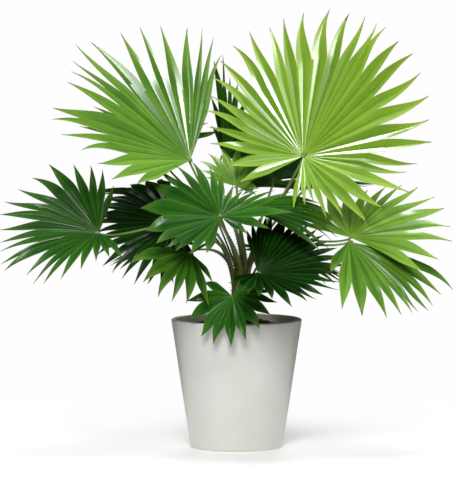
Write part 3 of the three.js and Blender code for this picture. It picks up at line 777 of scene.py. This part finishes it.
def leafletPoints(name, leaf):  # a point for each leaflet, with its measures
    count, seed = len(leaf["angles"]), leaf["seed"]
    each = range(count)
    lengths = [leaf["reach"] * leaf["lengths"][i] * fan["inside"] for i in each]
    own = [splitShare(leaf, (i + 0.5) / count) * lengths[i] for i in each]
    edges = [fanAngle(leaf, i / count) for i in range(count + 1)]
    spans = [abs(edges[i + 1] - edges[i]) / 2 for i in each]
    splits = [min(own[max(i - 1, 0)], own[min(i, count - 1)]) for i in range(count + 1)]
    middles = [fanAngle(leaf, (i + 0.5) / count) for i in each]
    measures = {
        "length": lengths,
        "angle": middles,
        "looseAngle": [middles[i] + fan["angleWaver"] * waver(i, seed + 7) for i in each],
        "angleBefore": edges[:-1],
        "angleAfter": edges[1:],
        "spanBefore": spans,
        "spanAfter": [*spans[1:], spans[-1]],
        "bow": [fan["bow"] * waver(i, seed + 13) for i in each],
        "splitMiddle": own,
        "splitBefore": splits[:-1],
        "splitAfter": splits[1:],
        "sag": [fan["sag"] * (1 + waver(i, seed + 3)) / 2 for i in each],
        "twist": [fan["twist"] * waver(i, seed + 5) for i in each],
        "leafletTone": [waver(i, seed + 9) + blend(*leaf["pale"], (i / count) ** 2) for i in each],
        "dryFrom": [fan["dryFrom"] - fan["dryMore"] * max(0, waver(i, seed + 11)) ** 2 for i in each],
    }
    thing = makeMesh(name, [(0, 0, 0)] * count, [])
    for key, values in measures.items():
        thing.data.attributes.new(key, "FLOAT", "POINT").data.foreach_set("value", values)
    return thing


def makeBlade(name, leaf, tree):
    thing = leafletPoints(f"fan_{name}", leaf)
    own = dict(zip(("axis", "face", "side", "hub"), leaf["frame"]), leafSkin=leafMaterials[leaf["tone"]])
    growOn(thing, tree, {**fan, **leaf, **own, "dryTip": dryTip})
    skin = thing.modifiers.new("thickness", "SOLIDIFY")
    skin.thickness = fan["thick"]
    skin.offset = -1
    bake(thing, fan["sharpAt"])
    fit(thing, slots.get(leaf["tone"], "frond_green"), f"frond_{name}")


blade = bladeTree()
for name, leaf in fans.items():
    makeBlade(name, leaf, blade)
print("blades made")


stem = {
    "foot": Vector((0.004, 0.002, 0.2813)),
    "top": Vector((0.014, 0, 0.399)),
    "flare": 0.029,  # radius on the soil
    "radius": 0.021,  # over the flare
    "tip": 0.017,
    "flareHeight": 0.026,
    "sides": 72, "rings": 60,
    "sheathRows": 5,  # rows of old leaf bases, five to a row
    "sheathLift": 0.0016, "unevenness": 0.0009,
    "ribs": 34,  # fine upright ribs round it, and their height
    "ribLift": 0.0004,
    "fibres": dict(density=26000.0, length=0.019, seed=5, finish=fibre),  # on each square metre
}


def stemRadiusAt(t):
    flare = max(0, 1 - t * (stem["top"] - stem["foot"]).length / stem["flareHeight"])
    return blend(stem["radius"], stem["tip"], t * t) + (stem["flare"] - stem["radius"]) * flare * flare


def stemPoint(t, turn, x, y):  # overlapping leaf bases, each swelling over the one below
    lap = fraction(t * stem["sheathRows"] + 0.5 * fraction(turn * 2.5))
    lift = stem["sheathLift"] * (lap - 0.7)
    lift += stem["unevenness"] * noise.noise(Vector((x * 7, y * 7, t * 3)))
    lift += stem["ribLift"] * sin(turn * 2 * pi * stem["ribs"] + 3 * sin(t * 20))
    radius = min(stemRadiusAt(t) + lift, stem["flare"])
    return stem["foot"].lerp(stem["top"], t) + Vector((x, y, 0)) * radius


def makeStem():
    sides, rings = stem["sides"], stem["rings"]
    points = [stemPoint(r / rings, s / sides, x, y) for r in range(rings + 1)
              for s, (x, y) in enumerate(around(sides))]
    faces = [(a, b, b + sides, a + sides) for a, b in ringPairs(0, rings + 1, sides)]
    foot, top = len(points), len(points) + 1
    points += [stem["foot"], stem["top"] + Vector((0, 0, 0.002))]
    for s in range(sides):
        after = (s + 1) % sides
        faces += [(foot, after, s), (top, rings * sides + s, rings * sides + after)]
    made = makeMesh("stem", points, faces, bark)
    fit(made, "bark", "stem")
    return made


stemPiece = makeStem()
print("stem made")


stalk = {
    "sheath": 0.0058,  # half width at the stem
    "neck": 0.0027,  # half width at the blade
    "taper": 0.55,
    "flat": 0.72,  # depth over width
    "flatTop": 0.62,  # depth of the upper side over that of the lower
    "tilt": 0.3,  # least rise of the end towards the blade's underside
    "approach": 0.3,
    "gap": 0.0003,
    "turning": (0.15, 0.95),  # of its length, where it turns its upper side to the blade's
    "steps": 44, "sides": 14,
    "clasp": 0.0105,  # half width of the sheath's foot
    "claspLength": 0.032,
    "channel": 0.4,  # depth of the groove on the upper side
    "costa": 0.12,  # of the reach, how far the stalk runs on under the blade
    "costaSteps": 8,
    "costaDrop": 0.0014,  # under the blade's surface
    "costaEnd": (0.0005, 0.0004),  # half width and half depth
    "margin": 0.97,  # of the half width, where the thorns stand
    "thorns": dict(spacing=0.007, length=0.0056, seed=3, finish=thorn),
    "thornHook": 0.45,  # how far they lean back
    "thornsTo": 0.72,  # of the stalk's length
    "thornShrink": 0.6,  # how much smaller the last one is
}


def bezier(a, b, c, d, t):
    s = 1 - t
    return a * s ** 3 + b * 3 * s * s * t + c * 3 * s * t * t + d * t ** 3


def upright(up, along):  # the part of up that is square to along
    return (up - along * up.dot(along)).normalized()


def stalkLine(leaf):  # points and their upper side, from stem to blade
    axis, face, _, hub = leaf["frame"]
    share = (leaf["seat"] * mm - stem["foot"].z) / (stem["top"].z - stem["foot"].z)
    core = stem["foot"].lerp(stem["top"], share)
    heading = leaf.get("side", degrees(atan2(hub.y - core.y, hub.x - core.x)))
    outside = direction(heading, 0)
    seat = core + outside * leaf["centre"] * stemRadiusAt(share)
    reach = (hub - seat).length
    arrival = (axis * leaf["follow"] + (hub - seat).normalized()).normalized()
    missing = stalk["tilt"] - arrival.dot(face)
    if missing > 0:
        arrival = (arrival + face * missing).normalized()
    end = hub - face * (fan["cadThick"] * leaf["reach"] + stalk["gap"])
    leave = seat + direction(heading, leaf["climb"]) * reach * leaf["arch"]
    approach = end - arrival * reach * stalk["approach"]
    steps, ups = stalk["steps"], []
    line = [bezier(seat, leave, approach, end, i / steps) for i in range(steps + 1)]
    for i in range(steps + 1):
        along = (line[min(i + 1, steps)] - line[max(i - 1, 0)]).normalized()
        t = smooth(*stalk["turning"], i / steps)
        ups.append(upright((Vector((0, 0, 1)) - outside * 1.5) * (1 - t) + face * t * 1.6, along))
    return line, ups


def stalkSection(share, total):  # half width, half depth and how much of it is sheath
    half = blend(stalk["sheath"], stalk["neck"], min(share, 1) ** stalk["taper"])
    foot = 1 - smooth(0, stalk["claspLength"] / total, share)
    if share <= 1:
        return blend(half, stalk["clasp"], foot), half * stalk["flat"], foot
    neck, (thin, shallow) = stalk["neck"], stalk["costaEnd"]
    return blend(neck, thin, share - 1), blend(neck * stalk["flat"], shallow, share - 1), foot


def makeStalk(name, leaf):
    line, ups = stalkLine(leaf)
    steps, sides, more = stalk["steps"], stalk["sides"], stalk["costaSteps"]
    total = sum((b - a).length for a, b in zip(line, line[1:]))
    spine = [(place, up, i / steps) for i, (place, up) in enumerate(zip(line, ups))]
    for i in range(1, more + 1):  # it runs on as a thin rib under the middle leaflet
        place, up = fanPoint(leaf, fanAngle(leaf, 0.5), stalk["costa"] * leaf["reach"] * i / more)
        spine.append((place - up * stalk["costaDrop"] * (1 - 0.5 * i / more), up, 1 + i / more))
    points, uvs, edges = [], [], ([], [])
    for i, (place, up, share) in enumerate(spine):
        along = (spine[min(i + 1, len(spine) - 1)][0] - spine[max(i - 1, 0)][0]).normalized()
        up = upright(up, along)
        across = along.cross(up)
        wide, deep, foot = stalkSection(share, total)
        for s, (x, z) in enumerate(around(sides)):
            groove = stalk["channel"] * max(0, z) * (1 - abs(x)) ** 0.8 * (1 - foot)
            height = z * (stalk["flatTop"] if z > 0 else 1) - groove - foot * 0.5 * (x * x - 0.3)
            points.append(place + across * x * wide + up * height * deep)
            uvs.append((s / sides, min(share, 1)))
        for margin, out in zip(edges, (across, -across)):
            margin.append((place + out * wide * stalk["margin"], out, share))
    faces = [(a, a + sides, b + sides, b) for a, b in ringPairs(0, len(spine), sides)]
    faces += [list(range(sides)), list(reversed(range(len(points) - sides, len(points))))]
    fit(makeMesh(f"petiole_{name}", points, faces, greenStalk, uvs=uvs), "stalk", f"stalk_{name}")
    return edges


def thornTree():  # hooked thorns along the lines of a mesh
    tree, given = newTree("thorns on an edge", Float="spacing length", Int="seed", Material="finish")
    curve = node(tree, "GeometryNodeMeshToCurve", Mesh=given)
    even = node(tree, "GeometryNodeResampleCurve", {"mode": "LENGTH"}, Curve=curve, Length=given["spacing"])
    cone = node(tree, "GeometryNodeMeshCone", Vertices=5, Radius_Top=0, Radius_Bottom=0.2, Depth=1)
    aim = facing(named(tree, "outward", "FLOAT_VECTOR"))
    size = chance(given["seed"], 0.7, 1.15) * named(tree, "size") * given["length"]
    endTree(planted(even, cone, aim, size), given["finish"])
    return tree


def makeThorns(margins):
    points, links, outward, size = [], [], [], []
    for margin in margins:
        first = len(points)
        along = (margin[1][0] - margin[0][0]).normalized()
        for place, out, share in margin:
            if share > stalk["thornsTo"]:
                break
            points.append(place)
            outward.extend((out - along * stalk["thornHook"]).normalized())
            size.append(1 - stalk["thornShrink"] * share / stalk["thornsTo"])
        links += [(i, i + 1) for i in range(first, len(points) - 1)]
    thing = makeMesh("thorns", points, [], edges=links)
    thing.data.attributes.new("outward", "FLOAT_VECTOR", "POINT").data.foreach_set("vector", outward)
    thing.data.attributes.new("size", "FLOAT", "POINT").data.foreach_set("value", size)
    growOn(thing, thornTree(), stalk["thorns"])
    bake(thing, 50)
    fit(thing, "stalk")


crest = {  # the small shield where a stalk meets its blade
    "length": 0.026,  # of the reach
    "narrow": 0.6,  # width over length
    "point": 0.5,  # how much longer it is forwards
    "height": 0.0022,
    "rings": ((1.0, -0.1), (1.05, 0.25), (0.72, 0.8), (0.36, 1.0)),  # shares of its length and height
    "peak": (0.1, 1.05),  # the same for its middle
    "root": 0.0004,  # how deep it sits in the blade
    "sides": 20,
}


def makeCrests():
    points, faces = [], []
    sides, rings, (ahead, peak) = crest["sides"], crest["rings"], crest["peak"]
    for leaf in fans.values():
        axis, face, side, hub = leaf["frame"]
        lift, size = tan(leaf["dish"]), crest["length"] * leaf["reach"]
        first = len(points)
        for share, height in rings:
            for x, y in around(sides):
                out = size * share * (1 + crest["point"] * x)
                flat = axis * x * out + side * y * out * crest["narrow"]
                points.append(hub + flat + face * (flat.length * lift + crest["height"] * height))
        faces += [(a, b, b + sides, a + sides) for a, b in ringPairs(first, len(rings), sides)]
        foot, top = len(points), len(points) + 1
        points += [hub - face * crest["root"], hub + axis * size * ahead + face * crest["height"] * peak]
        for s in range(sides):
            after = (s + 1) % sides
            faces += [(first + after, first + s, foot), (foot - sides + s, foot - sides + after, top)]
    fit(makeMesh("blade_crests", points, faces, crestSkin), "stalk")


margins = []
for name, leaf in fans.items():
    margins += makeStalk(name, leaf)
makeThorns(margins)
makeCrests()
print("stalks, thorns and crests made")


def fibreTree():  # loose fibres, leaning off a surface
    tree, given = newTree("stem fibres", Float="density length", Int="seed", Material="finish")
    strewn = node(tree, "GeometryNodeDistributePointsOnFaces", Mesh=given, Density=given["density"],
                  Seed=given["seed"])
    strand = node(tree, "GeometryNodeMeshCone", Vertices=3, Side_Segments=5, Radius_Top=0.004,
                  Radius_Bottom=0.022, Depth=1)
    lean = chance(given["seed"], (-0.45, -0.45, 0.6), (0.45, 0.45, 1))
    aim = facing(strewn["Normal"] * 0.16 + lean)
    size = chance(given["seed"], 0.45, 1) * given["length"]
    endTree(crumpled(planted(strewn, strand, aim, size), 70, 0.007), given["finish"])
    return tree


growOnCopy("stem_fibres", stemPiece, fibreTree(), stem["fibres"], "bark", 60)
print("fibres made")


studio = {
    "floorSize": 60, "paper": (0.99, 0.99, 0.99, 1),
    "glow": 0.2,  # of the floor round the pot
    "glowRange": (0.3, 1.1),  # metres from the pot, where the floor turns into plain light
    "air": 0.14,  # light from all round
    "shine": 0.02,  # the same in reflections
    "lamps": {  # place, aim, width, height, power, and whether it shows in the gloss
        "key": ((-0.3, -4.2, 3.1), (0, 0, 0.55), 1.6, 1.6, 165, False),
        "top": ((0.1, 0.1, 3.0), (0, 0, 0.6), 1.6, 1.4, 40, False),
        "rear": ((0.5, 4.2, 2.6), (0, 0, 0.5), 2.0, 1.6, 85, False),
        "window": ((0.3, -1.62, 2.9), (0.1, 0, 0.65), 0.66, 0.42, 92, True),
        "back": ((-1.33, 0.52, 2.95), (0.1, 0, 0.6), 0.42, 0.42, 48, True),
        "low": ((-0.95, -2.5, 2.05), (0.15, 0, 0.75), 0.42, 0.36, 42, True),
    },
}


def airStrength(tree):  # full to the eye, dim as light, dimmer in reflections
    eye = node(tree, "ShaderNodeLightPath")
    light = blend(studio["air"], studio["shine"], eye["Is Glossy Ray"])
    return blend(light, 1, eye["Is Camera Ray"])


def makeFloor():
    half = studio["floorSize"]
    corners = [(-half, -half, 0), (half, -half, 0), (half, half, 0), (-half, half, 0)]
    material, tree, inputs = newFinish("pale floor", 0.9)
    inputs["Base Color"].default_value = inputs["Emission Color"].default_value = studio["paper"]
    inputs["Specular IOR Level"].default_value = 0.1
    inputs["Emission Strength"].default_value = studio["glow"]
    glow = node(tree, "ShaderNodeEmission", Color=studio["paper"], Strength=airStrength(tree))
    mixed = tree.nodes.new("ShaderNodeMixShader")
    away = span(reckon("LENGTH", onPiece(tree)), *studio["glowRange"])
    paper = Wire(tree.nodes["Principled BSDF"].outputs[0])
    for value, socket in zip((away, paper, glow), mixed.inputs):
        plug(value, socket)
    plug(Wire(mixed.outputs[0]), tree.nodes["Material Output"].inputs["Surface"])
    makeMesh("floor", corners, [(0, 1, 2, 3)], material)


def makeAir():
    world = bpy.data.worlds.new("studio")
    bpy.context.scene.world = world
    world.use_nodes = True
    inputs = world.node_tree.nodes["Background"].inputs
    inputs["Color"].default_value = studio["paper"]
    plug(airStrength(world.node_tree), inputs["Strength"])


def makeLamp(name, place, aim, width, height, power, inGloss):
    lamp = bpy.data.lights.new(name, "AREA")
    lamp.shape = "RECTANGLE"
    lamp.size = width
    lamp.size_y = height
    lamp.energy = power
    thing = addThing(name, lamp)
    thing.visible_glossy = inGloss  # broad lamps light, small ones only glint
    thing.visible_diffuse = not inGloss
    thing.location = place
    thing.rotation_euler = (Vector(aim) - Vector(place)).to_track_quat("-Z", "Y").to_euler()


camera = {"place": (-0.019, -8.3, 1.03), "tilt": 86.102, "focal": 282.9, "sensor": 36, "farthest": 200}


def makeCamera():
    lens = bpy.data.cameras.new("camera")
    lens.lens = camera["focal"]
    lens.sensor_width = camera["sensor"]
    lens.clip_end = camera["farthest"]
    thing = addThing("camera", lens)
    thing.location = camera["place"]
    thing.rotation_euler = (radians(camera["tilt"]), 0, 0)
    bpy.context.scene.camera = thing


makeFloor()
makeAir()
for name, lamp in studio["lamps"].items():
    makeLamp(f"{name} light", *lamp)
makeCamera()
bpy.context.scene.view_settings.view_transform = "Standard"
print("studio set")
